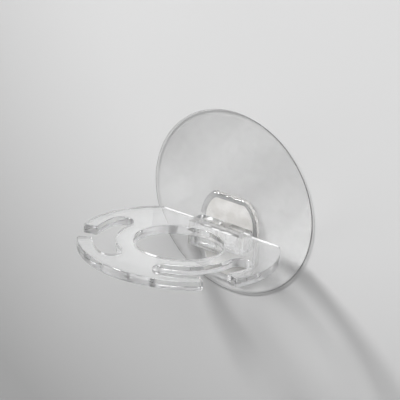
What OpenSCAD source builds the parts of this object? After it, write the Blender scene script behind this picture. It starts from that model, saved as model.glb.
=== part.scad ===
// Razor holder on a self-adhesive film disc.
// A clear slotted plate hangs on a T rail. The rail stands on a base that is bonded to the disc.
// Millimetres. The wall is the plane y = 0, the object stands at y < 0 and +Z is up.
// The origin is the centre of the disc's sticky back.

/* [Film disc] */
// Diameter of the film disc
film_d = 90; // [84:1:120]
// Thickness of the film
film_t = 0.4; // [0.2:0.1:1]
// Thickness of the sticky gel layer behind the film
gel_t = 0.6; // [0.3:0.1:1.2]
// How far the gel stops short of the film's edge
gel_setback = 0.6; // [0.2:0.1:2]

/* [Mount base] */
// Width of the base
base_w = 33; // [31:0.5:40]
// Height of the base, from flat end to flat end
base_h = 43.6; // [38:0.2:50]
// Length of the base's straight sides
base_straight = 16.2; // [10:0.2:22]
// Thickness of the base's plate
base_t = 2; // [1.4:0.1:3]
// Chamfer round the base's front face
base_edge = 0.6; // [0.2:0.1:0.9]
// Distance from the disc's lower edge up to the base
base_margin = 5.2; // [3:0.2:12]

/* [Bonding pad] */
// Thickness of the pad in the base's back
pad_t = 0.5; // [0.3:0.1:0.9]
// Clear rim of the base round the pad's recess
pad_margin = 2.7; // [1.5:0.1:5]
// Clearance between the pad and its recess
pad_gap = 0.2; // [0.1:0.05:0.5]

/* [T rail] */
// Width of the rail's neck
neck_w = 5; // [3:0.2:8]
// Length of the neck, from the base to the head
neck_l = 3.8; // [2.5:0.1:6]
// Width of the rail's head
head_w = 22; // [14:0.5:26]
// Thickness of the rail's head
head_t = 3; // [2:0.1:4]
// Lead-in chamfer at the rail's top end
rail_lead = 0.7; // [0.3:0.1:1]
// Distance from the base's lower end up to the seat that the socket rests on
seat_up = 18.2; // [12:0.2:22]
// Thickness of the seat
seat_t = 2; // [1.4:0.1:4]
// How far the rail's top end stays below the socket's top
rail_sink = 0.4; // [0.2:0.1:2]

/* [Socket] */
// Height of the socket
socket_h = 12; // [9:0.2:15]
// Wall at each side of the T slot
socket_side = 4.2; // [2:0.1:5]
// Wall in front of the T slot
socket_front = 3.4; // [2:0.1:5]
// Radius of the socket's rear corners
socket_corner = 2.8; // [1:0.1:3]
// Sliding clearance all round the rail
slide_gap = 0.3; // [0.2:0.05:0.4]

/* [Holder plate] */
// Diameter of the plate's round outline
plate_d = 92; // [88:0.5:104]
// Thickness of the plate
plate_t = 4.2; // [3:0.1:6]
// Upward tilt of the plate's front, in degrees
plate_tilt = 5; // [0:0.5:8]
// Distance from the plate's straight back edge to its centre
plate_reach = 31.2; // [30:0.2:38]
// Distance from the front of the base to the plate's back edge
plate_gap = 6.2; // [5:0.1:8]
// Height of the plate's back edge above the socket's top
plate_step = 0.6; // [0.6:0.1:1.2]
// Chamfer along the plate's edges
plate_edge = 0.4; // [0.2:0.1:0.8]

/* [Openings] */
// Diameter of the round hole for a tube or a cup
hole_d = 40.8; // [34:0.2:44]
// Radius of the arc that the neck slots follow
slot_r = 33.8; // [32:0.1:36]
// Width of a neck slot
slot_w = 10.5; // [8:0.1:12]
// Angle of the slot's rear end, from the side towards the front
slot_from = -1.5; // [-3:0.5:6]
// Angle of the slot's front end
slot_to = 63; // [52:0.5:66]
// Angle of the mouth's rear wall
mouth_from = 20; // [14:0.5:26]
// Angle of the mouth's front wall
mouth_to = 39; // [34:0.5:44]

/* [Hidden] */
$fn = 96;
over = 1; // how far a cut runs past the faces that it goes through

film_r = film_d / 2;
gel_r = film_r - gel_setback;
film_back = gel_t;
base_back = film_back + film_t;
base_front = base_back + base_t;

base_r = base_w / 2;
base_low = base_margin - film_r;
base_mid = base_low + base_h / 2;

recess_r = base_r - pad_margin;
recess_h = base_h - 2 * pad_margin;
pad_r = recess_r - pad_gap;
pad_h = recess_h - 2 * pad_gap;

head_back = base_front + neck_l;
head_front = head_back + head_t;
seat_z = base_low + seat_up;
socket_low = seat_z + slide_gap;
socket_top = socket_low + socket_h;
rail_top = socket_top - rail_sink;

slot_neck_w = neck_w + 2 * slide_gap;
slot_head_w = head_w + 2 * slide_gap;
pocket_back = head_back - slide_gap;
pocket_front = head_front + slide_gap;
socket_w = slot_head_w + 2 * socket_side;
socket_back = base_front + slide_gap;
socket_fore = pocket_front + socket_front;

plate_r = plate_d / 2;
plate_back = base_front + plate_gap;
plate_top = socket_top + plate_step;
hole_r = hole_d / 2;
slot_half = slot_w / 2;

// Turns a shape drawn as x across and y up, and extruded upwards, so that it grows from
// the wall towards the room, and starts it at the given distance from the wall.
module from_wall(distance) {
    translate([0, -distance, 0]) rotate([90, 0, 0]) children();
}

// Draws a profile with x towards the room and y up, and extrudes it evenly to both sides.
module across(width) {
    translate([width / 2, 0, 0]) rotate([90, 0, -90]) linear_extrude(width) children();
}

// The base's outline: two round ends on straight sides, both cut flat.
module base_outline(radius, height) {
    intersection() {
        union() {
            for (end = [-1, 1]) translate([0, end * base_straight / 2]) circle(radius);
            square([2 * radius, base_straight], center = true);
        }
        square([2 * radius, height], center = true);
    }
}

// A flat disc whose outer edge is chamfered on its upper face.
module topped_disc(radius, thickness, edge) {
    rotate_extrude()
        polygon([[0, 0], [radius, 0], [radius, thickness - edge],
                 [radius - edge, thickness], [0, thickness]]);
}

// Half profile of a bar that is chamfered along its upper edges.
module topped_bar(half, thickness, edge) {
    polygon([[-half, 0], [half, 0], [half, thickness - edge],
             [half - edge, thickness], [edge - half, thickness], [-half, thickness - edge]]);
}

// The base's plate with its chamfered front, lying flat and centred.
module base_plate() {
    intersection() {
        union() {
            for (end = [-1, 1]) translate([0, end * base_straight / 2, 0])
                topped_disc(base_r, base_t, base_edge);
            translate([0, base_straight / 2, 0]) rotate([90, 0, 0])
                linear_extrude(base_straight) topped_bar(base_r, base_t, base_edge);
        }
        translate([-base_r, 0, 0]) rotate([90, 0, 90])
            linear_extrude(2 * base_r) topped_bar(base_h / 2, base_t, base_edge);
    }
}

// Side view of the rail's head, with a lead-in at its top end.
module head_profile() {
    polygon([[head_back, seat_z - seat_t], [head_front, seat_z - seat_t],
             [head_front, rail_top - rail_lead], [head_front - rail_lead, rail_top],
             [head_back + rail_lead, rail_top], [head_back, rail_top - rail_lead]]);
}

// Side view of the rail's neck. It starts inside the base's plate.
module neck_profile() {
    root = base_front - base_t / 4;
    polygon([[root, seat_z - seat_t], [head_back + head_t / 2, seat_z - seat_t],
             [head_back + head_t / 2, rail_top], [root, rail_top]]);
}

// Side view of the seat at the rail's foot, which carries the socket.
module seat_profile() {
    root = base_front - base_t / 4;
    polygon([[root, seat_z - seat_t], [head_front, seat_z - seat_t],
             [head_front, seat_z], [root, seat_z]]);
}

// Plan of the socket block, with rounded rear corners.
module socket_outline() {
    half = socket_w / 2;
    depth = socket_fore - socket_back;
    translate([-half, -socket_fore]) square([socket_w, depth - socket_corner]);
    translate([socket_corner - half, -socket_fore]) square([socket_w - 2 * socket_corner, depth]);
    for (side = [-1, 1])
        translate([side * (half - socket_corner), -socket_back - socket_corner])
            circle(socket_corner);
}

// Plan of the T slot: a neck that opens to the rear and a wider pocket for the rail's head.
module t_slot_outline() {
    translate([-slot_neck_w / 2, -pocket_front]) square([slot_neck_w, pocket_front - socket_back + over]);
    translate([-slot_head_w / 2, -pocket_front]) square([slot_head_w, pocket_front - pocket_back]);
}

// Profile of a round cut through the plate that also chamfers both of its rims.
module round_cut_profile(radius) {
    flare = plate_edge + over;
    polygon([[0, over], [radius + flare, over], [radius, -plate_edge],
             [radius, plate_edge - plate_t], [radius + flare, -plate_t - over],
             [0, -plate_t - over]]);
}

// One neck slot about the plate's centre: an arc with round ends, and a mouth through the rim.
module neck_slot() {
    depth = plate_t + 2 * over;
    translate([0, 0, -plate_t - over]) {
        rotate([0, 0, -slot_to]) rotate_extrude(angle = slot_to - slot_from)
            translate([slot_r - slot_half, 0]) square([slot_w, depth]);
        for (end = [slot_from, slot_to])
            rotate([0, 0, -end]) translate([slot_r, 0, 0]) cylinder(h = depth, r = slot_half);
        rotate([0, 0, -mouth_to]) rotate_extrude(angle = mouth_to - mouth_from)
            translate([slot_r, 0]) square([plate_r + over - slot_r, depth]);
    }
}

// The plate before it is cut: a disc with chamfered rims and a straight back edge.
// Its top is z = 0 and its back edge lies on the X axis.
module plate_blank() {
    intersection() {
        translate([0, -plate_reach, 0]) rotate_extrude()
            polygon([[0, 0], [plate_r - plate_edge, 0], [plate_r, -plate_edge],
                     [plate_r, plate_edge - plate_t], [plate_r - plate_edge, -plate_t],
                     [0, -plate_t]]);
        across(plate_d + 2 * over)
            polygon([[plate_reach + plate_d, 0], [plate_edge, 0], [0, -plate_edge],
                     [0, plate_edge - plate_t], [plate_edge, -plate_t],
                     [plate_reach + plate_d, -plate_t]]);
    }
}

// The plate with its round hole and both neck slots.
module slotted_plate() {
    difference() {
        plate_blank();
        translate([0, -plate_reach, 0]) {
            rotate_extrude() round_cut_profile(hole_r);
            neck_slot();
            mirror([1, 0, 0]) neck_slot();
        }
    }
}

module adhesive_gel() {
    color([0.90, 0.91, 0.92, 0.5]) from_wall(0) cylinder(h = gel_t, r = gel_r);
}

module film_disc() {
    color([0.78, 0.80, 0.82, 0.5]) from_wall(film_back) cylinder(h = film_t, r = film_r);
}

module bonding_pad() {
    color([0.90, 0.89, 0.84]) translate([0, 0, base_mid]) from_wall(base_back)
        linear_extrude(pad_t) base_outline(pad_r, pad_h);
}

module mount_base() {
    color([0.80, 0.86, 0.90, 0.6]) {
        difference() {
            translate([0, 0, base_mid]) from_wall(base_back) base_plate();
            translate([0, 0, base_mid]) from_wall(base_back - over)
                linear_extrude(pad_t + over) base_outline(recess_r, recess_h);
        }
        across(head_w) head_profile();
        across(neck_w) neck_profile();
        across(head_w) seat_profile();
    }
}

module holder_plate() {
    color([0.86, 0.90, 0.93, 0.6]) difference() {
        union() {
            translate([0, -plate_back, plate_top]) rotate([-plate_tilt, 0, 0]) slotted_plate();
            translate([0, 0, socket_low]) linear_extrude(socket_h) socket_outline();
        }
        translate([0, 0, socket_low - over])
            linear_extrude(plate_top - socket_low + plate_t + over) t_slot_outline();
    }
}

adhesive_gel();
film_disc();
bonding_pad();
mount_base();
holder_plate();
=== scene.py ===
# %% [markdown]
# # A clear razor holder on a self-adhesive film disc
# The holder is two clear mouldings, a round hazy film, its sticky gel and a bonding pad.
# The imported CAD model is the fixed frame. Each piece below is modelled again with finer
# edges, in the same place and at the same size, and takes the place of its CAD node.

# %% Load the frame
import math
import bpy
import bmesh
from mathutils import Matrix, Vector


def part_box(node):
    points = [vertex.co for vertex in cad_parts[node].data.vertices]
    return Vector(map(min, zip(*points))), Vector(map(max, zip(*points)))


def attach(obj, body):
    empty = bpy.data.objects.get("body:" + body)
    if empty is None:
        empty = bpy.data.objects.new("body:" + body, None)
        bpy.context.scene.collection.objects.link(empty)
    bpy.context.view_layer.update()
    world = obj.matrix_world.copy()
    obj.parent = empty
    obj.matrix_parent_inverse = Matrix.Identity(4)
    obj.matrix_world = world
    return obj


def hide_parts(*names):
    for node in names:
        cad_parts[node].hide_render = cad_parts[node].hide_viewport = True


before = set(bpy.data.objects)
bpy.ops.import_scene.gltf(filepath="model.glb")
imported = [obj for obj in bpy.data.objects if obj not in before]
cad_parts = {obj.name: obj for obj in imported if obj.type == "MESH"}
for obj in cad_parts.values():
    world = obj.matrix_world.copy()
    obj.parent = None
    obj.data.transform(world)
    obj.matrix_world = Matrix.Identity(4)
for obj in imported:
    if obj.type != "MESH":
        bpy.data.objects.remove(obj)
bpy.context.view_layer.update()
MM = 0.001

# %% [markdown]
# ## Sizes
# The film, the gel, the pad and the base are read from the boxes of their CAD nodes, so that
# they follow the frame. What a box can't tell, such as the slots' angles, is written here as
# real sizes, in millimetres and degrees. The wall is the plane y = 0, the room is on the side
# of negative y, and up is +Z.

# %% Read the sizes that the boxes give
film_low, film_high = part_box("film_disc")
gel_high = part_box("adhesive_gel")[1]
pad_low, pad_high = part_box("bonding_pad")
base_low, base_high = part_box("mount_base")
film_radius = film_high.z / MM
film_back = -film_high.y / MM
film_front = -film_low.y / MM
gel_radius = gel_high.z / MM
pad_radius = pad_high.x / MM
pad_half = (pad_high.z - pad_low.z) / 2 / MM
pad_depth = (pad_high.y - pad_low.y) / MM
base_radius = base_high.x / MM
base_bottom = base_low.z / MM
base_top = base_high.z / MM
print("film radius", round(film_radius, 2), "mm, from", round(film_back, 2), "to", round(film_front, 2))
print("base from", round(base_bottom, 2), "to", round(base_top, 2), "mm high")
print("pad radius", round(pad_radius, 2), "mm and", round(pad_depth, 2), "mm thick")

# %% Name the sizes of the base, its rail and the socket
BASE_THICK = 2.0
BASE_STRAIGHT = 16.2
NECK_WIDTH = 5.0
NECK_LENGTH = 3.8
HEAD_WIDTH = 22.0
HEAD_THICK = 3.0
SEAT_UP = 18.2
SEAT_THICK = 2.0
SOCKET_HIGH = 12.0
SOCKET_SIDE = 4.2
SOCKET_FRONT = 3.4
SOCKET_CORNER = 2.8
RAIL_SINK = 0.4
SLIDE_GAP = 0.3

base_front = film_front + BASE_THICK
base_middle = (base_bottom + base_top) / 2
base_half = (base_top - base_bottom) / 2
seat_height = base_bottom + SEAT_UP
socket_bottom = seat_height + SLIDE_GAP
socket_top = socket_bottom + SOCKET_HIGH
rail_top = socket_top - RAIL_SINK
print("socket from", round(socket_bottom, 2), "to", round(socket_top, 2), "mm high")

# %% Name the sizes of the plate
PLATE_RADIUS = 45.98
PLATE_THICK = 4.2
PLATE_TILT = math.radians(5.0)
PLATE_REACH = 31.2
PLATE_GAP = 6.2
PLATE_STEP = 0.6
HOLE_RADIUS = 20.4
SLOT_ARC = 33.8
SLOT_HALF = 5.25
SLOT_REAR, SLOT_FRONT = -1.5, 63.0
MOUTH_REAR, MOUTH_FRONT = 20.0, 39.0

plate_back = base_front + PLATE_GAP
plate_top = socket_top + PLATE_STEP
plate_centre = Vector((0.0, -plate_back - PLATE_REACH * math.cos(PLATE_TILT), 0.0))
print("the plate's back edge is", round(plate_back, 2), "mm from the wall, at", round(plate_top, 2))

# %% [markdown]
# ## The camera
# The camera looks down on the holder from the front and the right, through a long lens. Its
# direction, roll and distance come from matching the outlines of the round disc and of the
# plate. It is made before the pieces, so that every later step is judged in the same view.

# %% Place the camera
AZIMUTH = math.radians(36.689)
ELEVATION = math.radians(24.238)
ROLL = math.radians(1.722)
DISTANCE = 911.3
LENS = 174.47
AIM = Vector((-19.03, 0.0, -4.63))
NEAREST, FARTHEST = 0.05, 20.0

back = Vector((math.sin(AZIMUTH) * math.cos(ELEVATION),
               -math.cos(AZIMUTH) * math.cos(ELEVATION),
               math.sin(ELEVATION)))
side = Vector((math.cos(AZIMUTH), math.sin(AZIMUTH), 0.0))
up = back.cross(side)
right = side * math.cos(ROLL) + up * math.sin(ROLL)
top = up * math.cos(ROLL) - side * math.sin(ROLL)
camera_data = bpy.data.cameras.new("camera")
camera_data.lens = LENS
camera_data.clip_start = NEAREST
camera_data.clip_end = FARTHEST
camera = bpy.data.objects.new("camera", camera_data)
turn = Matrix((right, top, back)).transposed()
camera.matrix_world = Matrix.Translation((AIM + back * DISTANCE) * MM) @ turn.to_4x4()
bpy.context.scene.collection.objects.link(camera)
bpy.context.scene.camera = camera
print("camera at", [round(v, 3) for v in camera.location], "m")

# %% [markdown]
# ## Tools for drawing outlines
# Every moulding here starts as a closed outline of straight lines and arcs. An outline begins
# at one point. A straight side pulls a new point out of the last one, and an arc spins the last
# point about a centre. That leaves a chain of edges, which is filled, given its thickness by
# extrusion, and has its sharp edges rounded by a bevel. A drawing made this way keeps the real
# radii and angles in sight, which a sculpted or box-modelled shape would hide.

# %% Draw lines and arcs
MERGE = 1e-4


def start_at(bm, x, y):
    """Makes the first point of an outline, in millimetres."""
    return bmesh.ops.create_vert(bm, co=(x, y, 0.0))["vert"][0]


def line_to(bm, point, x, y):
    """Pulls a straight side out of a point and returns its far end."""
    pulled = bmesh.ops.extrude_vert_indiv(bm, verts=[point])["verts"][0]
    pulled.co = (x, y, 0.0)
    return pulled


def arc_about(bm, point, centre, degrees, steps):
    """Spins a point about a centre, which draws an arc, and returns its far end."""
    spun = bmesh.ops.spin(bm, geom=[point], cent=(*centre, 0.0), axis=(0.0, 0.0, 1.0),
                          dvec=(0.0, 0.0, 0.0), angle=math.radians(degrees), steps=steps,
                          use_merge=False, use_normal_flip=False, use_duplicate=False)
    return [v for v in spun["geom_last"] if isinstance(v, bmesh.types.BMVert)][0]


def at_angle(radius, degrees):
    """A point on a circle about the middle."""
    return (radius * math.cos(math.radians(degrees)), radius * math.sin(math.radians(degrees)))


def close_outline(bm, last, first):
    """Joins the last point to the first one and fills the outline with one face."""
    bmesh.ops.contextual_create(bm, geom=[last, first])
    bmesh.ops.remove_doubles(bm, verts=bm.verts[:], dist=MERGE)
    bmesh.ops.contextual_create(bm, geom=bm.edges[:])
    print("outline of", len(bm.verts), "points filled with", len(bm.faces), "face")


print("outlines are drawn in millimetres, and points closer than", MERGE, "mm are merged")

# %% Give an outline its thickness and round its edges
SHARP = 35.0


def thicken(bm, height):
    """Pulls the filled outline up by a height, which closes it into a solid."""
    pulled = bmesh.ops.extrude_face_region(bm, geom=bm.faces[:])
    moved = [v for v in pulled["geom"] if isinstance(v, bmesh.types.BMVert)]
    bmesh.ops.translate(bm, verts=moved, vec=(0.0, 0.0, height))
    bmesh.ops.recalc_face_normals(bm, faces=bm.faces[:])


def soften(bm, width, segments, wanted=lambda edge: True):
    """Rounds the sharp edges that are wanted, with a bevel of that width."""
    sharp = [e for e in bm.edges if len(e.link_faces) == 2
             and math.degrees(e.calc_face_angle(0.0)) > SHARP and wanted(e)]
    bmesh.ops.bevel(bm, geom=sharp, offset=width, offset_type="OFFSET", segments=segments,
                    profile=0.5, affect="EDGES", clamp_overlap=True, material=-1)
    print("rounded", len(sharp), "edges by", width, "mm")


print("an edge is sharp where its faces turn by more than", SHARP, "degrees")

# %% [markdown]
# ## From an outline to a finished piece
# A drawn solid becomes an object whose place is in its mesh, so that the object itself stays at
# the origin, unturned and unscaled. Clear plastic shows every wall inside it, so solids that
# touch are joined or cut by a Boolean instead of being left to overlap.

# %% Turn an outline into a finished piece
CREASE = 30.0


def to_object(name, bm, placing, closed=True):
    """Makes an object whose mesh is already in place, in metres."""
    bm.transform(Matrix.Scale(MM, 4) @ placing)
    if closed:
        bmesh.ops.recalc_face_normals(bm, faces=bm.faces[:])
    mesh = bpy.data.meshes.new(name)
    bm.to_mesh(mesh)
    bm.free()
    made = bpy.data.objects.new(name, mesh)
    bpy.context.scene.collection.objects.link(made)
    return made


def apply_all(made):
    """Applies every modifier of an object."""
    bpy.context.view_layer.objects.active = made
    for modifier in list(made.modifiers):
        bpy.ops.object.modifier_apply(modifier=modifier.name)


def combine(made, other, how):
    """Joins another solid to a piece, or cuts it out of the piece, and uses the other one up."""
    cut = made.modifiers.new(how.lower(), "BOOLEAN")
    cut.operation = how
    cut.object = other
    cut.solver = "EXACT"
    apply_all(made)
    bpy.data.objects.remove(other)
    print(made.name, "after", how.lower(), "has", len(made.data.polygons), "faces")


def shade_clean(made):
    """Smooth shading that keeps flat faces flat and leaves hard edges hard."""
    made.data.polygons.foreach_set("use_smooth", [True] * len(made.data.polygons))
    made.data.set_sharp_from_angle(angle=math.radians(CREASE))
    weighted = made.modifiers.new("flat faces", "WEIGHTED_NORMAL")
    weighted.keep_sharp = True
    apply_all(made)


def take_place(made, node, body, slot, *finishes):
    """Dresses a piece and lets it stand for its CAD node."""
    for finish in finishes:
        made.data.materials.append(finish)
    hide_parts(node)
    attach(made, body)
    print(made.name, "stands for", node, "on", body)


print("edges that turn by more than", CREASE, "degrees stay hard in the shading")

# %% [markdown]
# ## Tools for mixing finishes
# A finish is a small tree of shader nodes. Every tree here uses the same few steps: a noise that
# sits still on the object, a value stretched to another range, a product, and a mix of two
# shaders. Each step gets a short function, so that a finish reads like its recipe.

# %% Make nodes
def grey(level):
    """A colour without a hue."""
    return (level, level, level, 1.0)


def node_of(tree, kind, x, y, **settings):
    """Adds a shader node and sets its properties."""
    made = tree.nodes.new(kind)
    made.location = (x, y)
    for name, value in settings.items():
        setattr(made, name, value)
    return made


def fresh_material(name):
    """A material with an empty tree and its output node."""
    material = bpy.data.materials.new(name)
    material.use_nodes = True
    material.node_tree.nodes.clear()
    out = node_of(material.node_tree, "ShaderNodeOutputMaterial", 700, 0)
    return material, material.node_tree, out


def noise_on_object(tree, scale, detail, x, y):
    """A noise that sits still on the object. Its scale is in patches per metre."""
    place = node_of(tree, "ShaderNodeTexCoord", x - 400, y)
    noise = node_of(tree, "ShaderNodeTexNoise", x - 200, y)
    noise.inputs["Scale"].default_value = scale
    noise.inputs["Detail"].default_value = detail
    tree.links.new(place.outputs["Object"], noise.inputs["Vector"])
    return noise.outputs["Fac"]


print("mid grey is", grey(0.5))

# %% Stretch, multiply and mix
def spread(tree, value, given, wanted, x, y):
    """Stretches a value from the given range to the wanted one, and never leaves that."""
    made = node_of(tree, "ShaderNodeMapRange", x, y)
    made.inputs["From Min"].default_value = given[0]
    made.inputs["From Max"].default_value = given[1]
    made.inputs["To Min"].default_value = wanted[0]
    made.inputs["To Max"].default_value = wanted[1]
    tree.links.new(value, made.inputs["Value"])
    return made.outputs["Result"]


def product(tree, one, other, x, y):
    """Multiplies a value by a number or by another value."""
    made = node_of(tree, "ShaderNodeMath", x, y, operation="MULTIPLY")
    tree.links.new(one, made.inputs[0])
    if isinstance(other, float):
        made.inputs[1].default_value = other
    else:
        tree.links.new(other, made.inputs[1])
    return made.outputs["Value"]


def along(tree, vector, direction, x, y):
    """How far a vector reaches in a direction."""
    made = node_of(tree, "ShaderNodeVectorMath", x, y, operation="DOT_PRODUCT")
    made.inputs[1].default_value = direction
    tree.links.new(vector, made.inputs[0])
    return made.outputs["Value"]


def two_tone(tree, value, first, last, x, y):
    """Colours a value between two stops. Each stop is a position and a colour."""
    made = node_of(tree, "ShaderNodeValToRGB", x, y)
    for stop, (position, colour) in zip(made.color_ramp.elements, (first, last)):
        stop.position = position
        stop.color = colour
    tree.links.new(value, made.inputs["Fac"])
    return made


def mixed(tree, share, first, second, x, y):
    """Mixes two shaders. The share is the second one's."""
    made = node_of(tree, "ShaderNodeMixShader", x, y)
    tree.links.new(share, made.inputs["Fac"])
    tree.links.new(first, made.inputs[1])
    tree.links.new(second, made.inputs[2])
    return made.outputs["Shader"]


def raise_bumps(tree, height, strength, distance, shader, x, y):
    """Lets a pattern push a shader's surface in and out, by a distance in metres."""
    made = node_of(tree, "ShaderNodeBump", x, y)
    made.inputs["Strength"].default_value = strength
    made.inputs["Distance"].default_value = distance
    tree.links.new(height, made.inputs["Height"])
    tree.links.new(made.outputs["Normal"], shader.inputs["Normal"])


steps = (spread, product, along, two_tone, mixed, raise_bumps)
print("steps of the recipes:", [step.__name__ for step in steps])

# %% [markdown]
# ## Clear plastic
# The plate and the base are polished clear styrene plastic, which bends light a little more than
# acrylic does. A Principled shader with full Transmission gives both the mirror-like skin and the
# bending. Moulded plastic is never perfectly flat: a slow noise in the bump gives the faint waves
# of the mould, and a fine one in the roughness gives handling marks. Light runs round inside the
# walls many times, so Cycles gets more bounces, or the caught light would turn into black spots.

# %% Let light bounce inside the plastic
cycles = bpy.context.scene.cycles
cycles.max_bounces = 32
cycles.transmission_bounces = 24
cycles.glossy_bounces = 16
cycles.transparent_max_bounces = 24
cycles.caustics_refractive = False
print("up to", cycles.max_bounces, "bounces, and no refractive caustics")

# %% Mix the skin and the inside
PLASTIC_COLOUR = (0.985, 0.99, 0.995, 1.0)
PLASTIC_IOR = 1.57
MARKS_SCALE, MARKS_DETAIL = 900.0, 6.0
MARKS_START, MARKS_FULL = 0.45, 0.75
MARKS_ROUGH = 0.05
WAVES_SCALE, WAVES_DETAIL = 120.0, 1.0
WAVES_HIGH = 0.0004


def moulded_skin(tree, wave):
    """Polished clear plastic with handling marks and the faint waves of its mould."""
    skin = node_of(tree, "ShaderNodeBsdfPrincipled", 100, 100)
    skin.inputs["Base Color"].default_value = PLASTIC_COLOUR
    skin.inputs["IOR"].default_value = PLASTIC_IOR
    skin.inputs["Transmission Weight"].default_value = 1.0
    marks = noise_on_object(tree, MARKS_SCALE, MARKS_DETAIL, -300, 100)
    rough = spread(tree, marks, (MARKS_START, MARKS_FULL), (0.0, MARKS_ROUGH), -80, 60)
    tree.links.new(rough, skin.inputs["Roughness"])
    waves = noise_on_object(tree, WAVES_SCALE, WAVES_DETAIL, -300, -200)
    raise_bumps(tree, waves, wave, WAVES_HIGH, skin, -80, -200)
    return skin.outputs["BSDF"]


print("the plastic's refractive index is", PLASTIC_IOR)

# %% [markdown]
# ## The plastic's shadow and haze
# A lamp shines straight through a broad face of clear plastic, while an edge bends its light
# away and throws a shadow. Tracing that exactly would take very many samples, so refractive
# caustics are off and shadow rays meet a Transparent shader instead. Its tint is light where the
# surface faces the piece's broad direction, darker on edges, and darker again near the plate's
# rim, which draws the two soft arcs on the wall. A thin white haze lies on the broad faces
# only, as fine scratches do, so that the edges stay crisp.

# %% Mix what the lamps meet
EDGE_UNTIL, BROAD_FROM = 0.5, 0.95
BROAD_LIGHT = 0.96
RIM_WIDE = 5.0
RIM_LIGHT = 0.36


def distance_from(tree, centre, x, y, level=False):
    """How far the surface is from a point, or from the upright line through it, in metres."""
    place = node_of(tree, "ShaderNodeTexCoord", x, y)
    offset = node_of(tree, "ShaderNodeVectorMath", x + 200, y, operation="SUBTRACT")
    offset.inputs[1].default_value = centre * MM
    tree.links.new(place.outputs["Object"], offset.inputs[0])
    found = offset.outputs["Vector"]
    if level:
        flattened = node_of(tree, "ShaderNodeVectorMath", x + 380, y, operation="MULTIPLY")
        flattened.inputs[1].default_value = (1.0, 1.0, 0.0)
        tree.links.new(found, flattened.inputs[0])
        found = flattened.outputs["Vector"]
    reach = node_of(tree, "ShaderNodeVectorMath", x + 560, y, operation="LENGTH")
    tree.links.new(found, reach.inputs[0])
    return reach.outputs["Value"]


def lamp_light(tree, broadside, edge_light, rim_from):
    """What a shadow ray meets: clear broad faces, darker edges and a darker outer zone."""
    through = node_of(tree, "ShaderNodeBsdfTransparent", 100, -250)
    faces = two_tone(tree, broadside, (EDGE_UNTIL, grey(edge_light)),
                     (BROAD_FROM, grey(BROAD_LIGHT)), -20, -420)
    reach = distance_from(tree, plate_centre, -900, -700, level=True)
    zone = spread(tree, reach, (rim_from * MM, (rim_from + RIM_WIDE) * MM), (1.0, RIM_LIGHT), -160, -700)
    both = node_of(tree, "ShaderNodeVectorMath", 60, -600, operation="SCALE")
    tree.links.new(faces.outputs["Color"], both.inputs[0])
    tree.links.new(zone, both.inputs["Scale"])
    tree.links.new(both.outputs["Vector"], through.inputs["Color"])
    return through.outputs["BSDF"]


print("the plate's rim lets", RIM_LIGHT, "of the lamps' light through at each surface")

# %% Mix the clear plastics
HAZE_COLOUR = grey(0.9)
UPWARDS = (0.0, 0.0, 1.0)
OUTWARDS = (0.0, 1.0, 0.0)
PLATE_RIM_FROM = 35.0
NO_RIM = 90.0


def clear_plastic(name, wave, broad, edge_light, haze, rim_from):
    """Clear moulded plastic with haze on its broad faces and dark edges to the lamps."""
    material, tree, out = fresh_material(name)
    surface = node_of(tree, "ShaderNodeNewGeometry", -500, -420)
    turned = along(tree, surface.outputs["Normal"], broad, -320, -420)
    flat = node_of(tree, "ShaderNodeMath", -160, -420, operation="ABSOLUTE")
    tree.links.new(turned, flat.inputs[0])
    broadside = flat.outputs["Value"]
    milk = node_of(tree, "ShaderNodeBsdfDiffuse", 100, 350)
    milk.inputs["Color"].default_value = HAZE_COLOUR
    scuffed = product(tree, broadside, haze, 100, 480)
    seen = mixed(tree, scuffed, moulded_skin(tree, wave), milk.outputs["BSDF"], 300, 100)
    path = node_of(tree, "ShaderNodeLightPath", 100, 620)
    lit = lamp_light(tree, broadside, edge_light, rim_from)
    done = mixed(tree, path.outputs["Is Shadow Ray"], seen, lit, 450, 0)
    tree.links.new(done, out.inputs["Surface"])
    return material


plate_plastic = clear_plastic("clear_plate_plastic", wave=0.10, broad=UPWARDS, edge_light=0.50,
                              haze=0.15, rim_from=PLATE_RIM_FROM)
socket_plastic = clear_plastic("clear_socket_plastic", wave=0.10, broad=UPWARDS, edge_light=0.72,
                               haze=0.003, rim_from=NO_RIM)
base_plastic = clear_plastic("clear_base_plastic", wave=0.04, broad=OUTWARDS, edge_light=0.35,
                             haze=0.06, rim_from=NO_RIM)
print("clear plastics:", plate_plastic.name, socket_plastic.name, base_plastic.name)

# %% [markdown]
# ## The holder plate
# The plate is a round slab, cut straight at the back, with a round hole and two arc slots whose
# mouths open through the rim. The left half mirrors the right one, so only the right half is
# drawn: one closed outline that runs along the back, round the rim, in and out of the slot and
# back along the hole. Drawing a half also keeps the face free of holes, which an outline can't
# fill. The arcs next to a corner have fewer points, because a bevel stops where it would run
# over a very short side.

# %% Draw the right half of the plate
rim_corner = math.sqrt(PLATE_RADIUS ** 2 - PLATE_REACH ** 2)
corner_angle = math.degrees(math.atan2(PLATE_REACH, rim_corner))
slot_inner = SLOT_ARC - SLOT_HALF
slot_outer = SLOT_ARC + SLOT_HALF
MIDDLE = (0.0, 0.0)

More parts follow.
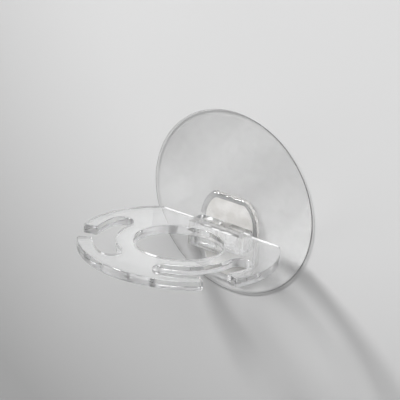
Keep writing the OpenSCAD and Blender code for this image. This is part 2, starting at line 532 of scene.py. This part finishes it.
plate = bmesh.new()
first = start_at(plate, 0.0, PLATE_REACH)
point = line_to(plate, first, rim_corner, PLATE_REACH)
point = arc_about(plate, point, MIDDLE, -(corner_angle + MOUTH_REAR), steps=28)
point = line_to(plate, point, *at_angle(slot_outer, -MOUTH_REAR))
point = arc_about(plate, point, MIDDLE, MOUTH_REAR - SLOT_REAR, steps=8)
point = arc_about(plate, point, at_angle(SLOT_ARC, -SLOT_REAR), 180.0, steps=20)
point = arc_about(plate, point, MIDDLE, SLOT_REAR - SLOT_FRONT, steps=40)
point = arc_about(plate, point, at_angle(SLOT_ARC, -SLOT_FRONT), 180.0, steps=20)
point = arc_about(plate, point, MIDDLE, SLOT_FRONT - MOUTH_FRONT, steps=9)
point = line_to(plate, point, *at_angle(PLATE_RADIUS, -MOUTH_FRONT))
point = arc_about(plate, point, MIDDLE, MOUTH_FRONT - 90.0, steps=22)
point = line_to(plate, point, 0.0, -HOLE_RADIUS)
point = arc_about(plate, point, MIDDLE, 180.0, steps=72)
close_outline(plate, point, first)
print("the slots run from", slot_inner, "to", slot_outer, "mm out")

# %% Mirror it, give it its thickness and round its edges
CORNER_ROUND = 1.2
EDGE_ROUND = 0.4


def upright(edge):
    """True for the edges that go through the plate's thickness."""
    return abs(edge.verts[0].co.z - edge.verts[1].co.z) > PLATE_THICK / 2


bmesh.ops.mirror(plate, geom=plate.verts[:] + plate.edges[:] + plate.faces[:],
                 matrix=Matrix.Identity(4), merge_dist=MERGE, axis="X")
bmesh.ops.recalc_face_normals(plate, faces=plate.faces[:])
thicken(plate, -PLATE_THICK)
soften(plate, CORNER_ROUND, segments=4, wanted=upright)
soften(plate, EDGE_ROUND, segments=3)
place_plate = (Matrix.Translation((0.0, -plate_back, plate_top))
               @ Matrix.Rotation(-PLATE_TILT, 4, "X")
               @ Matrix.Translation((0.0, -PLATE_REACH, 0.0)))
holder = to_object("holder_plate_clear", plate, place_plate)
print("plate:", len(holder.data.polygons), "faces")

# %% [markdown]
# ## The socket
# The block behind the plate slides down over the rail. It is a rounded block with a T-shaped
# slot right through it, narrow towards the wall and wide inside. The block is joined to the plate
# first, and the slot is cut last, so that it runs clean through both. The faces of the block get
# a plastic of their own, which throws a lighter shadow than the plate's edges do.

# %% Build the block
BLOCK_ROUND = 0.35

pocket_back = base_front + NECK_LENGTH - SLIDE_GAP
pocket_front = base_front + NECK_LENGTH + HEAD_THICK + SLIDE_GAP
block_back = base_front + SLIDE_GAP
block_front = pocket_front + SOCKET_FRONT
slot_half_neck = NECK_WIDTH / 2 + SLIDE_GAP
slot_half_head = HEAD_WIDTH / 2 + SLIDE_GAP
block_half = slot_half_head + SOCKET_SIDE
corner_x = block_half - SOCKET_CORNER
corner_y = -block_back - SOCKET_CORNER

block = bmesh.new()
first = start_at(block, -block_half, -block_front)
point = line_to(block, first, block_half, -block_front)
point = line_to(block, point, block_half, corner_y)
point = arc_about(block, point, (corner_x, corner_y), 90.0, steps=10)
point = line_to(block, point, -corner_x, -block_back)
point = arc_about(block, point, (-corner_x, corner_y), 90.0, steps=10)
close_outline(block, point, first)
thicken(block, SOCKET_HIGH)
soften(block, BLOCK_ROUND, segments=3)
block = to_object("socket_block", block, Matrix.Translation((0.0, 0.0, socket_bottom)))
combine(holder, block, "UNION")

# %% Cut the T slot
OVER = 1.0

slot = bmesh.new()
first = start_at(slot, -slot_half_neck, -block_back + OVER)
point = line_to(slot, first, -slot_half_neck, -pocket_back)
point = line_to(slot, point, -slot_half_head, -pocket_back)
point = line_to(slot, point, -slot_half_head, -pocket_front)
point = line_to(slot, point, slot_half_head, -pocket_front)
point = line_to(slot, point, slot_half_head, -pocket_back)
point = line_to(slot, point, slot_half_neck, -pocket_back)
point = line_to(slot, point, slot_half_neck, -block_back + OVER)
close_outline(slot, point, first)
thicken(slot, SOCKET_HIGH + 4 * OVER)
slot = to_object("t_slot", slot, Matrix.Translation((0.0, 0.0, socket_bottom - OVER)))
combine(holder, slot, "DIFFERENCE")

# %% Dress the plate and its socket
HAIR = 0.01

shade_clean(holder)
take_place(holder, "holder_plate", "holder", "clear_plate", plate_plastic, socket_plastic)
for face in holder.data.polygons:
    spot = face.center / MM
    face.material_index = int(abs(spot.x) < block_half + HAIR and -spot.y < block_front + HAIR)
print("faces of the socket:", sum(face.material_index for face in holder.data.polygons))

# %% [markdown]
# ## The base and its rail
# The base is a flat clear plate with two round ends that are cut straight. Its front edge is
# rounded, its back has a shallow recess for the bonding pad, and the T rail stands on its front.
# The recess and the pad have the base's own outline, drawn smaller, so one function draws all
# three, and it lies flat until it is stood up against the wall.

# %% Draw the base
BASE_ROUND = 0.9


def base_outline(bm, radius, half_height):
    """Two arcs and two straight sides, cut flat at both ends."""
    reach = half_height - BASE_STRAIGHT / 2
    end_angle = math.degrees(math.asin(reach / radius))
    flat_end = radius * math.cos(math.radians(end_angle))
    start = start_at(bm, flat_end, -half_height)
    last = arc_about(bm, start, (0.0, -BASE_STRAIGHT / 2), end_angle, steps=24)
    last = line_to(bm, last, radius, BASE_STRAIGHT / 2)
    last = arc_about(bm, last, (0.0, BASE_STRAIGHT / 2), end_angle, steps=24)
    last = line_to(bm, last, -flat_end, half_height)
    last = arc_about(bm, last, (0.0, BASE_STRAIGHT / 2), end_angle, steps=24)
    last = line_to(bm, last, -radius, -BASE_STRAIGHT / 2)
    last = arc_about(bm, last, (0.0, -BASE_STRAIGHT / 2), end_angle, steps=24)
    close_outline(bm, last, start)


def on_wall(distance):
    """Stands a drawing up: its up becomes +Z and its thickness grows towards the room."""
    stand = Matrix.Rotation(math.radians(90.0), 4, "X")
    return Matrix.Translation((0.0, -distance, base_middle)) @ stand


def at_front(edge):
    """True for the edges of the base's front face."""
    return min(v.co.z for v in edge.verts) > BASE_THICK / 2


base = bmesh.new()
base_outline(base, base_radius, base_half)
thicken(base, BASE_THICK)
soften(base, BASE_ROUND, segments=4, wanted=at_front)
base = to_object("mount_base_clear", base, on_wall(film_front))
print("base:", len(base.data.polygons), "faces")

# %% Hollow its back for the pad
PAD_INSET = 2.7

recess = bmesh.new()
base_outline(recess, base_radius - PAD_INSET, base_half - PAD_INSET)
thicken(recess, pad_depth + OVER)
recess = to_object("pad_recess", recess, on_wall(film_front - OVER))
combine(base, recess, "DIFFERENCE")

# %% [markdown]
# ## The T rail
# The rail is a wide head on a narrow neck, with a seat at its foot that stops the socket. Each
# bar is drawn from the side, so the head's two slanted lead-in edges are part of its outline, and
# the bars are joined into one solid with the base.

# %% Add the T rail and its seat
RAIL_LEAD = 0.7
RAIL_ROUND = 0.25


def side_block(name, half_width, points):
    """A bar across the object, from its side view: distance from the wall and height."""
    bm = bmesh.new()
    start = start_at(bm, *points[0])
    last = start
    for spot in points[1:]:
        last = line_to(bm, last, *spot)
    close_outline(bm, last, start)
    thicken(bm, 2 * half_width)
    soften(bm, RAIL_ROUND, segments=2)
    swing = Matrix(((0, 0, 1, -half_width), (-1, 0, 0, 0), (0, 1, 0, 0), (0, 0, 0, 1)))
    return to_object(name, bm, swing)


root = base_front - BASE_THICK / 4
head_back = base_front + NECK_LENGTH
head_front = head_back + HEAD_THICK
neck_end = head_back + HEAD_THICK / 2
foot = seat_height - SEAT_THICK
head = side_block("rail_head", HEAD_WIDTH / 2,
                  [(head_back, foot), (head_front, foot), (head_front, rail_top - RAIL_LEAD),
                   (head_front - RAIL_LEAD, rail_top), (head_back + RAIL_LEAD, rail_top),
                   (head_back, rail_top - RAIL_LEAD)])
neck = side_block("rail_neck", NECK_WIDTH / 2,
                  [(root, foot), (neck_end, foot), (neck_end, rail_top), (root, rail_top)])
seat = side_block("rail_seat", HEAD_WIDTH / 2,
                  [(root, foot), (head_front, foot), (head_front, seat_height), (root, seat_height)])
combine(head, neck, "UNION")
combine(head, seat, "UNION")
combine(base, head, "UNION")
shade_clean(base)
take_place(base, "mount_base", "base", "clear_base", base_plastic)

# %% [markdown]
# ## The bonding pad
# The pad behind the clear base is pressed onto the film, and air caught while it was pressed
# leaves pale blotches in its warm off-white. The blotches are a low noise and the caught air is a
# pattern of cells, both on Object coordinates so that they stay with the pad. The sheet starts a
# hair off the film and sinks a hair into the base, because two faces in the same place flicker.

# %% Mix the pad's finish
PAD_DARK = (0.68, 0.665, 0.64, 1.0)
PAD_PALE = (0.84, 0.83, 0.815, 1.0)
PAD_ROUGH = 0.5
BLOTCH_SCALE, BLOTCH_DETAIL = 160.0, 4.0
BLOTCH_FROM, BLOTCH_TO = 0.35, 0.65
AIR_SCALE = 420.0
AIR_STRENGTH, AIR_HIGH = 0.5, 0.0003


def pad_finish():
    """Off-white adhesive with caught air."""
    material, tree, out = fresh_material("bonding_pad_adhesive")
    body = node_of(tree, "ShaderNodeBsdfPrincipled", 300, 0)
    body.inputs["Roughness"].default_value = PAD_ROUGH
    blotch = noise_on_object(tree, BLOTCH_SCALE, BLOTCH_DETAIL, -300, 200)
    colours = two_tone(tree, blotch, (BLOTCH_FROM, PAD_DARK), (BLOTCH_TO, PAD_PALE), 0, 200)
    tree.links.new(colours.outputs["Color"], body.inputs["Base Color"])
    place = node_of(tree, "ShaderNodeTexCoord", -500, -200)
    air = node_of(tree, "ShaderNodeTexVoronoi", -300, -200)
    air.inputs["Scale"].default_value = AIR_SCALE
    tree.links.new(place.outputs["Object"], air.inputs["Vector"])
    raise_bumps(tree, air.outputs["Distance"], AIR_STRENGTH, AIR_HIGH, body, 0, -200)
    tree.links.new(body.outputs["BSDF"], out.inputs["Surface"])
    return material


pad_adhesive = pad_finish()
print("pad finish:", pad_adhesive.name, "with", len(pad_adhesive.node_tree.nodes), "nodes")

# %% Model the pad
PAD_LIFT = 0.02
PAD_SINK = 0.03

pad = bmesh.new()
base_outline(pad, pad_radius, pad_half)
thicken(pad, pad_depth + PAD_SINK - PAD_LIFT)
pad = to_object("bonding_pad_sheet", pad, on_wall(film_front + PAD_LIFT))
shade_clean(pad)
take_place(pad, "bonding_pad", "base", "pad", pad_adhesive)

# %% [markdown]
# ## The finish of the film and its gel
# The film is a thin round sheet of slightly hazy plastic. Haze is a share of white scatter over
# a clear sheet, so the finish mixes a Principled shader into a Transparent one. The share varies
# in round clouds of haze and in long diagonal streaks, which are a painted reflection of soft
# bands of light on the film's gloss. It grows towards the right, which is painted light. It stays
# under a quarter, because the denoiser draws a faint line where it crosses that. The clear part is
# a little greyer at the top and clearer at the bottom, painted light and shade that lightens the
# plate's shadow on the film's lower part. The rim is cut film seen on edge, which looks darker, so
# it has a finish of its own, whose dark colour is painted shade.

# %% Mix clouds of haze and streaks of painted reflection
CLOUD_DETAIL, PAINTED_SHEEN_DETAIL = 3.0, 2.0
# The streaks are a painted reflection: long soft bands of extra haze stand in for light that the film's
# gloss reflects.
PAINTED_SHEEN_PLACE = (8.3, 0.0, 3.07)
PAINTED_SHEEN_TURN = (0.0, math.radians(-45.0), 0.0)
PAINTED_SHEEN_SIZE = (0.120, 0.120, 0.034)
PAINTED_SHEEN_SHARE = 0.6


def clouds_and_painted_sheen(tree, cloud_scale):
    """Round clouds of haze blended with long diagonal streaks of painted reflection."""
    clouds = noise_on_object(tree, cloud_scale, CLOUD_DETAIL, -300, 0)
    place = node_of(tree, "ShaderNodeTexCoord", -900, -300)
    lay = node_of(tree, "ShaderNodeMapping", -700, -300, vector_type="TEXTURE")
    lay.inputs["Location"].default_value = PAINTED_SHEEN_PLACE
    lay.inputs["Rotation"].default_value = PAINTED_SHEEN_TURN
    lay.inputs["Scale"].default_value = PAINTED_SHEEN_SIZE
    painted_sheen_streaks = node_of(tree, "ShaderNodeTexNoise", -500, -300)
    painted_sheen_streaks.inputs["Scale"].default_value = 1.0
    painted_sheen_streaks.inputs["Detail"].default_value = PAINTED_SHEEN_DETAIL
    blend = node_of(tree, "ShaderNodeMix", -200, -100)
    blend.inputs["Factor"].default_value = PAINTED_SHEEN_SHARE
    tree.links.new(place.outputs["Object"], lay.inputs["Vector"])
    tree.links.new(lay.outputs["Vector"], painted_sheen_streaks.inputs["Vector"])
    tree.links.new(clouds, blend.inputs["A"])
    tree.links.new(painted_sheen_streaks.outputs["Fac"], blend.inputs["B"])
    return blend.outputs["Result"]


print("a streak is about", round(PAINTED_SHEEN_SIZE[2] / MM), "mm wide and", round(PAINTED_SHEEN_SIZE[0] / MM), "mm long")

# %% Mix the film's and the gel's finishes
CLOUD_FROM, CLOUD_TO = 0.40, 0.62
# Painted light: the haze share grows towards the right and a little downwards, which paints that part of the
# film lighter.
HAZE_AND_PAINTED_LIGHT_WAY = (0.95, 0.0, -0.30)
HAZE_AND_PAINTED_LIGHT_LESS, HAZE_AND_PAINTED_LIGHT_MORE = 0.5, 1.1
# Painted light and shade: the clear part is greyer at the top and clearer at the bottom, which lightens the
# plate's shadow on the film's lower part.
PAINTED_LIGHT_AND_SHADE_WAY = (0.3, 0.0, -0.95)


def across_film(tree, direction, first, last, x, y):
    """A value that changes evenly from one side of the film to the other."""
    place = node_of(tree, "ShaderNodeTexCoord", x - 400, y)
    reach = along(tree, place.outputs["Object"], direction, x - 200, y)
    return spread(tree, reach, (-film_radius * MM, film_radius * MM), (first, last), x, y)


def hazy_sheet(name, colour, tint, least, most, rough, cloud_scale, shade=0.2, painted_shade_fade=0.0):
    """A thin sheet, part clear and part scatter, with painted light in its haze and clear tint. Lamps meet
    its haze times the shade.
    """
    material, tree, out = fresh_material(name)
    scatter = node_of(tree, "ShaderNodeBsdfPrincipled", 100, 150)
    scatter.inputs["Base Color"].default_value = colour
    scatter.inputs["Roughness"].default_value = rough
    clear = node_of(tree, "ShaderNodeBsdfTransparent", 100, -250)
    clear.inputs["Color"].default_value = grey(tint)
    # Painted light and shade: the clear tint runs from greyer at the top to clearer at the bottom.
    if painted_shade_fade:
        painted_clearing = across_film(tree, PAINTED_LIGHT_AND_SHADE_WAY, tint - painted_shade_fade, tint + painted_shade_fade, -500, -700)
        tree.links.new(painted_clearing, clear.inputs["Color"])
    clouds = clouds_and_painted_sheen(tree, cloud_scale)
    # The haze share: real haze in the clouds, painted reflection in the streaks.
    haze = spread(tree, clouds, (CLOUD_FROM, CLOUD_TO), (least, most), -80, 0)
    # Painted light: the haze grows towards the right and the bottom.
    painted_light_growth = across_film(tree, HAZE_AND_PAINTED_LIGHT_WAY, HAZE_AND_PAINTED_LIGHT_LESS, HAZE_AND_PAINTED_LIGHT_MORE, -500, -500)
    settled = product(tree, haze, painted_light_growth, 60, 0)
    path = node_of(tree, "ShaderNodeLightPath", -80, 300)
    thin = node_of(tree, "ShaderNodeMath", 60, 300, operation="MULTIPLY_ADD")
    thin.inputs[1].default_value = shade - 1.0
    thin.inputs[2].default_value = 1.0
    tree.links.new(path.outputs["Is Shadow Ray"], thin.inputs[0])
    kept = product(tree, thin.outputs["Value"], settled, 220, 300)
    done = mixed(tree, kept, clear.outputs["BSDF"], scatter.outputs["BSDF"], 450, 0)
    tree.links.new(done, out.inputs["Surface"])
    return material


film_face = hazy_sheet("hazy_film", grey(0.97), tint=0.955, least=0.03, most=0.22,
                       rough=0.25, cloud_scale=18.0, painted_shade_fade=0.05)
# The rim's dark colour is painted shade: it paints the dark line along the film's cut edge, and its share,
# which grows towards the lower right, paints the edge's shadow there.
film_rim_painted_shade = hazy_sheet("cut_film_edge_painted_shade", (0.12, 0.12, 0.13, 1.0), tint=0.80, least=0.60, most=0.75,
                      rough=0.35, cloud_scale=400.0, shade=1.5)
gel_face = hazy_sheet("clear_gel", grey(0.80), tint=0.985, least=0.02, most=0.08,
                      rough=0.45, cloud_scale=150.0)
gel_rim = hazy_sheet("gel_rim", (0.60, 0.60, 0.59, 1.0), tint=0.97, least=0.08, most=0.12,
                     rough=0.45, cloud_scale=300.0, shade=10.0)
print("sheet finishes:", film_face.name, film_rim_painted_shade.name, gel_face.name, gel_rim.name)

# %% [markdown]
# ## The film disc and its gel
# Both are flat discs. A disc is spun from its half section, a flat strip with a rounded rim,
# about the line through its centre, and the first and last sections are merged. A narrow ring
# beside the rim keeps the broad faces flat in the smooth shading. Faces whose middle is out on the
# rim get the rim's finish. The gel stays a hair behind the film, because two faces in the same
# place flicker.

# %% Spin the discs
FILM_RIM = 0.12
RING = 1.2
RIM_FACES = 0.9
GEL_SHY = 0.04


def spun_disc(name, radius, far, thick):
    """Spins a flat strip with a rounded rim about the line through the disc's centre."""
    inner = radius - FILM_RIM
    bm = bmesh.new()
    start = start_at(bm, 0.0, 0.0)
    last = line_to(bm, start, radius - RING, 0.0)
    last = line_to(bm, last, inner, 0.0)
    last = arc_about(bm, last, (inner, FILM_RIM), 90.0, steps=4)
    last = line_to(bm, last, radius, thick - FILM_RIM)
    last = arc_about(bm, last, (inner, thick - FILM_RIM), 90.0, steps=4)
    last = line_to(bm, last, radius - RING, thick)
    last = line_to(bm, last, 0.0, thick)
    bmesh.ops.spin(bm, geom=bm.verts[:] + bm.edges[:], cent=(0.0, 0.0, 0.0), axis=(0.0, 1.0, 0.0),
                   dvec=(0.0, 0.0, 0.0), angle=math.radians(360.0), steps=180,
                   use_merge=True, use_normal_flip=False, use_duplicate=False)
    bmesh.ops.remove_doubles(bm, verts=bm.verts[:], dist=MERGE / 10)
    for face in bm.faces:
        out_there = face.calc_center_median().xz.length
        face.material_index = int(out_there > radius - FILM_RIM * RIM_FACES)
    return to_object(name, bm, Matrix.Translation((0.0, -far - thick, 0.0)))


film = spun_disc("film_disc_hazy", film_radius, film_back, film_front - film_back)
shade_clean(film)
take_place(film, "film_disc", "base", "film", film_face, film_rim_painted_shade)
gel = spun_disc("adhesive_gel_layer", gel_radius, GEL_SHY, film_back - 2 * GEL_SHY)
shade_clean(gel)
take_place(gel, "adhesive_gel", "base", "gel", gel_face, gel_rim)

# %% [markdown]
# ## The wall and the floor
# The holder hangs on a pale wall whose paint carries a painted pool of light: it is palest round a
# spot above the disc and falls off from there in painted shade, to a share of the ramp that keeps
# the far wall pale. From behind the wall lets the camera through, so that the sticky side can be
# seen, and it has an opening just behind the opaque pad, so that a lamp can reach the pad's back.
# The plain floor lies far below, where only a view from above sees it.

# %% Mix the wall's paint with its painted pool of light, and the floor's paint
FLOOR_PALE = 0.70
# The wall's tones are painted light: a pool of light round one spot that falls off into painted shade.
WALL_PAINTED_LIGHT_PALE = 0.741
WALL_PAINTED_SHADE = 0.218
PAINTED_LIGHT_SPOT = Vector((38.0, 0.0, 118.0))
PAINTED_LIGHT_NEAR, PAINTED_LIGHT_FAR = 90.0, 314.0
PAINTED_LIGHT_LEAST = 0.40


def see_through_back(name, painted_light_pool):
    """Matt paint that is clear from behind, plain or with a painted pool of light round one spot."""
    material, tree, out = fresh_material(name)
    paint = node_of(tree, "ShaderNodeBsdfDiffuse", 220, 100)
    paint.inputs["Color"].default_value = grey(FLOOR_PALE)
    # Painted light: the colour is palest round one spot and darkens with distance from it, as a lamp's pool
    # would.
    if painted_light_pool:
        away = distance_from(tree, PAINTED_LIGHT_SPOT, -900, 0)
        near_and_far = (PAINTED_LIGHT_NEAR * MM, PAINTED_LIGHT_FAR * MM)
        painted_falloff = spread(tree, away, near_and_far, (1.0, PAINTED_LIGHT_LEAST), -280, 0)
        tones = two_tone(tree, painted_falloff, (0.0, grey(WALL_PAINTED_SHADE)), (1.0, grey(WALL_PAINTED_LIGHT_PALE)), -80, 0)
        tones.color_ramp.interpolation = "EASE"
        tree.links.new(tones.outputs["Color"], paint.inputs["Color"])
    clear = node_of(tree, "ShaderNodeBsdfTransparent", 220, -100)
    facing = node_of(tree, "ShaderNodeNewGeometry", 220, 400)
    done = mixed(tree, facing.outputs["Backfacing"], paint.outputs["BSDF"], clear.outputs["BSDF"], 450, 0)
    tree.links.new(done, out.inputs["Surface"])
    return material


wall_paint_and_painted_light = see_through_back("wall_paint_and_painted_light", True)
floor_paint = see_through_back("floor_paint", False)
print("paints:", wall_paint_and_painted_light.name, floor_paint.name)

# %% Build the wall with its opening
WALL_HALF = 1500.0
WALL_GAP = 0.05
OPENING_SHY = 1.0

wall = bmesh.new()
base_outline(wall, pad_radius - OPENING_SHY, pad_half - OPENING_SHY)
bmesh.ops.delete(wall, geom=wall.faces[:], context="FACES_ONLY")
first = start_at(wall, -WALL_HALF, -WALL_HALF)
point = line_to(wall, first, WALL_HALF, -WALL_HALF)
point = line_to(wall, point, WALL_HALF, WALL_HALF)
point = line_to(wall, point, -WALL_HALF, WALL_HALF)
bmesh.ops.contextual_create(wall, geom=[point, first])
bmesh.ops.triangle_fill(wall, use_beauty=True, use_dissolve=False, edges=wall.edges[:])
wall.normal_update()
bmesh.ops.reverse_faces(wall, faces=[f for f in wall.faces if f.normal.z < 0.0])
wall = to_object("wall", wall, on_wall(-WALL_GAP), closed=False)
wall.data.materials.append(wall_paint_and_painted_light)
print("the wall faces", [round(v, 2) for v in wall.data.polygons[0].normal])

# %% Lay the floor far below
FLOOR_DROP = 1100.0
FLOOR_DEEP = 900.0

floor = bmesh.new()
bmesh.ops.create_grid(floor, x_segments=1, y_segments=1, size=FLOOR_DEEP / 2)
lay_floor = Matrix.Translation((0.0, -FLOOR_DEEP / 2, -FLOOR_DROP))
floor = to_object("floor", floor, lay_floor, closed=False)
floor.data.materials.append(floor_paint)
print("floor", FLOOR_DROP, "mm below the disc's centre")

# %% [markdown]
# ## The lamps
# One soft round lamp stands at the upper left in front and throws the two arcs on the wall. A
# wide lamp above and in front lights the rest of the wall, and a weak one from below on the left
# fills the shadows. The last one stands behind the wall and reaches only the pad's back, through
# the opening.

# %% Hang the lamps
def soft_lamp(name, towards, distance, width, height, power, shape="RECTANGLE"):
    """A flat soft lamp that looks back at the object from a direction."""
    data = bpy.data.lights.new(name, "AREA")
    data.shape = shape
    data.size = width
    if shape == "RECTANGLE":
        data.size_y = height
    data.energy = power
    lamp = bpy.data.objects.new(name, data)
    lamp.location = Vector(towards).normalized() * distance
    lamp.rotation_mode = "QUATERNION"
    lamp.rotation_quaternion = Vector(towards).to_track_quat("Z", "Y")
    lamp.visible_camera = False
    bpy.context.scene.collection.objects.link(lamp)
    print(name, "lamp at", [round(v, 2) for v in lamp.location], "m,", power, "W")


soft_lamp("key", towards=(-1.03, -1.0, 1.31), distance=2.5, width=0.50, height=0.50,
          power=45.5, shape="DISK")
soft_lamp("ceiling", towards=(0.1, -0.8, 1.0), distance=1.8, width=1.6, height=1.2, power=22.3)
soft_lamp("fill", towards=(-0.55, -0.75, -0.40), distance=2.0, width=1.2, height=0.7, power=3.4)
soft_lamp("behind", towards=(-0.4, 1.0, 0.5), distance=2.0, width=1.2, height=1.2, power=14.0)

# %% [markdown]
# ## The studio around the object
# The world is dim, and a little lighter above than below. The camera sees a plain pale backdrop
# instead. Rays that have come through the plastic see a share of that backdrop, which grows from
# left to right, so the left side works like a black card beside the set: it gives the edges of
# clear plastic their dark accents.

# %% Paint the world
SKY_LOW, SKY_HIGH = (0.015, 0.015, 0.016, 1.0), grey(0.24)
SKY_FROM, SKY_TO = -0.5, 0.8
BACKDROP = 0.55
CARD_SIDE, OPEN_SIDE = 0.0, 0.40
CARD_FROM, CARD_TO = -0.5, 0.5

world = bpy.data.worlds.new("studio")
world.use_nodes = True
bpy.context.scene.world = world
sky = world.node_tree
sky.nodes.clear()
out = node_of(sky, "ShaderNodeOutputWorld", 500, 0)
place = node_of(sky, "ShaderNodeTexCoord", -600, 0)
split = node_of(sky, "ShaderNodeSeparateXYZ", -440, 0)
sky.links.new(place.outputs["Generated"], split.inputs["Vector"])
lift = spread(sky, split.outputs["Z"], (SKY_FROM, SKY_TO), (0.0, 1.0), -280, 0)
tones = two_tone(sky, lift, (0.0, SKY_LOW), (1.0, SKY_HIGH), -100, 0)
glow = node_of(sky, "ShaderNodeBackground", 200, 0)
sky.links.new(tones.outputs["Color"], glow.inputs["Color"])
pale = node_of(sky, "ShaderNodeBackground", 200, -200)
pale.inputs["Color"].default_value = grey(BACKDROP)
card = spread(sky, split.outputs["X"], (CARD_FROM, CARD_TO), (CARD_SIDE, OPEN_SIDE), -280, 260)
path = node_of(sky, "ShaderNodeLightPath", -100, 400)
seen = node_of(sky, "ShaderNodeMath", 60, 400, operation="MULTIPLY_ADD")
sky.links.new(path.outputs["Is Transmission Ray"], seen.inputs[0])
sky.links.new(card, seen.inputs[1])
sky.links.new(path.outputs["Is Camera Ray"], seen.inputs[2])
backdrops = mixed(sky, seen.outputs["Value"], glow.outputs["Background"], pale.outputs["Background"], 320, 0)
sky.links.new(backdrops, out.inputs["Surface"])
bpy.context.scene.view_settings.view_transform = "Standard"
print("world of", len(sky.nodes), "nodes, backdrop", BACKDROP)
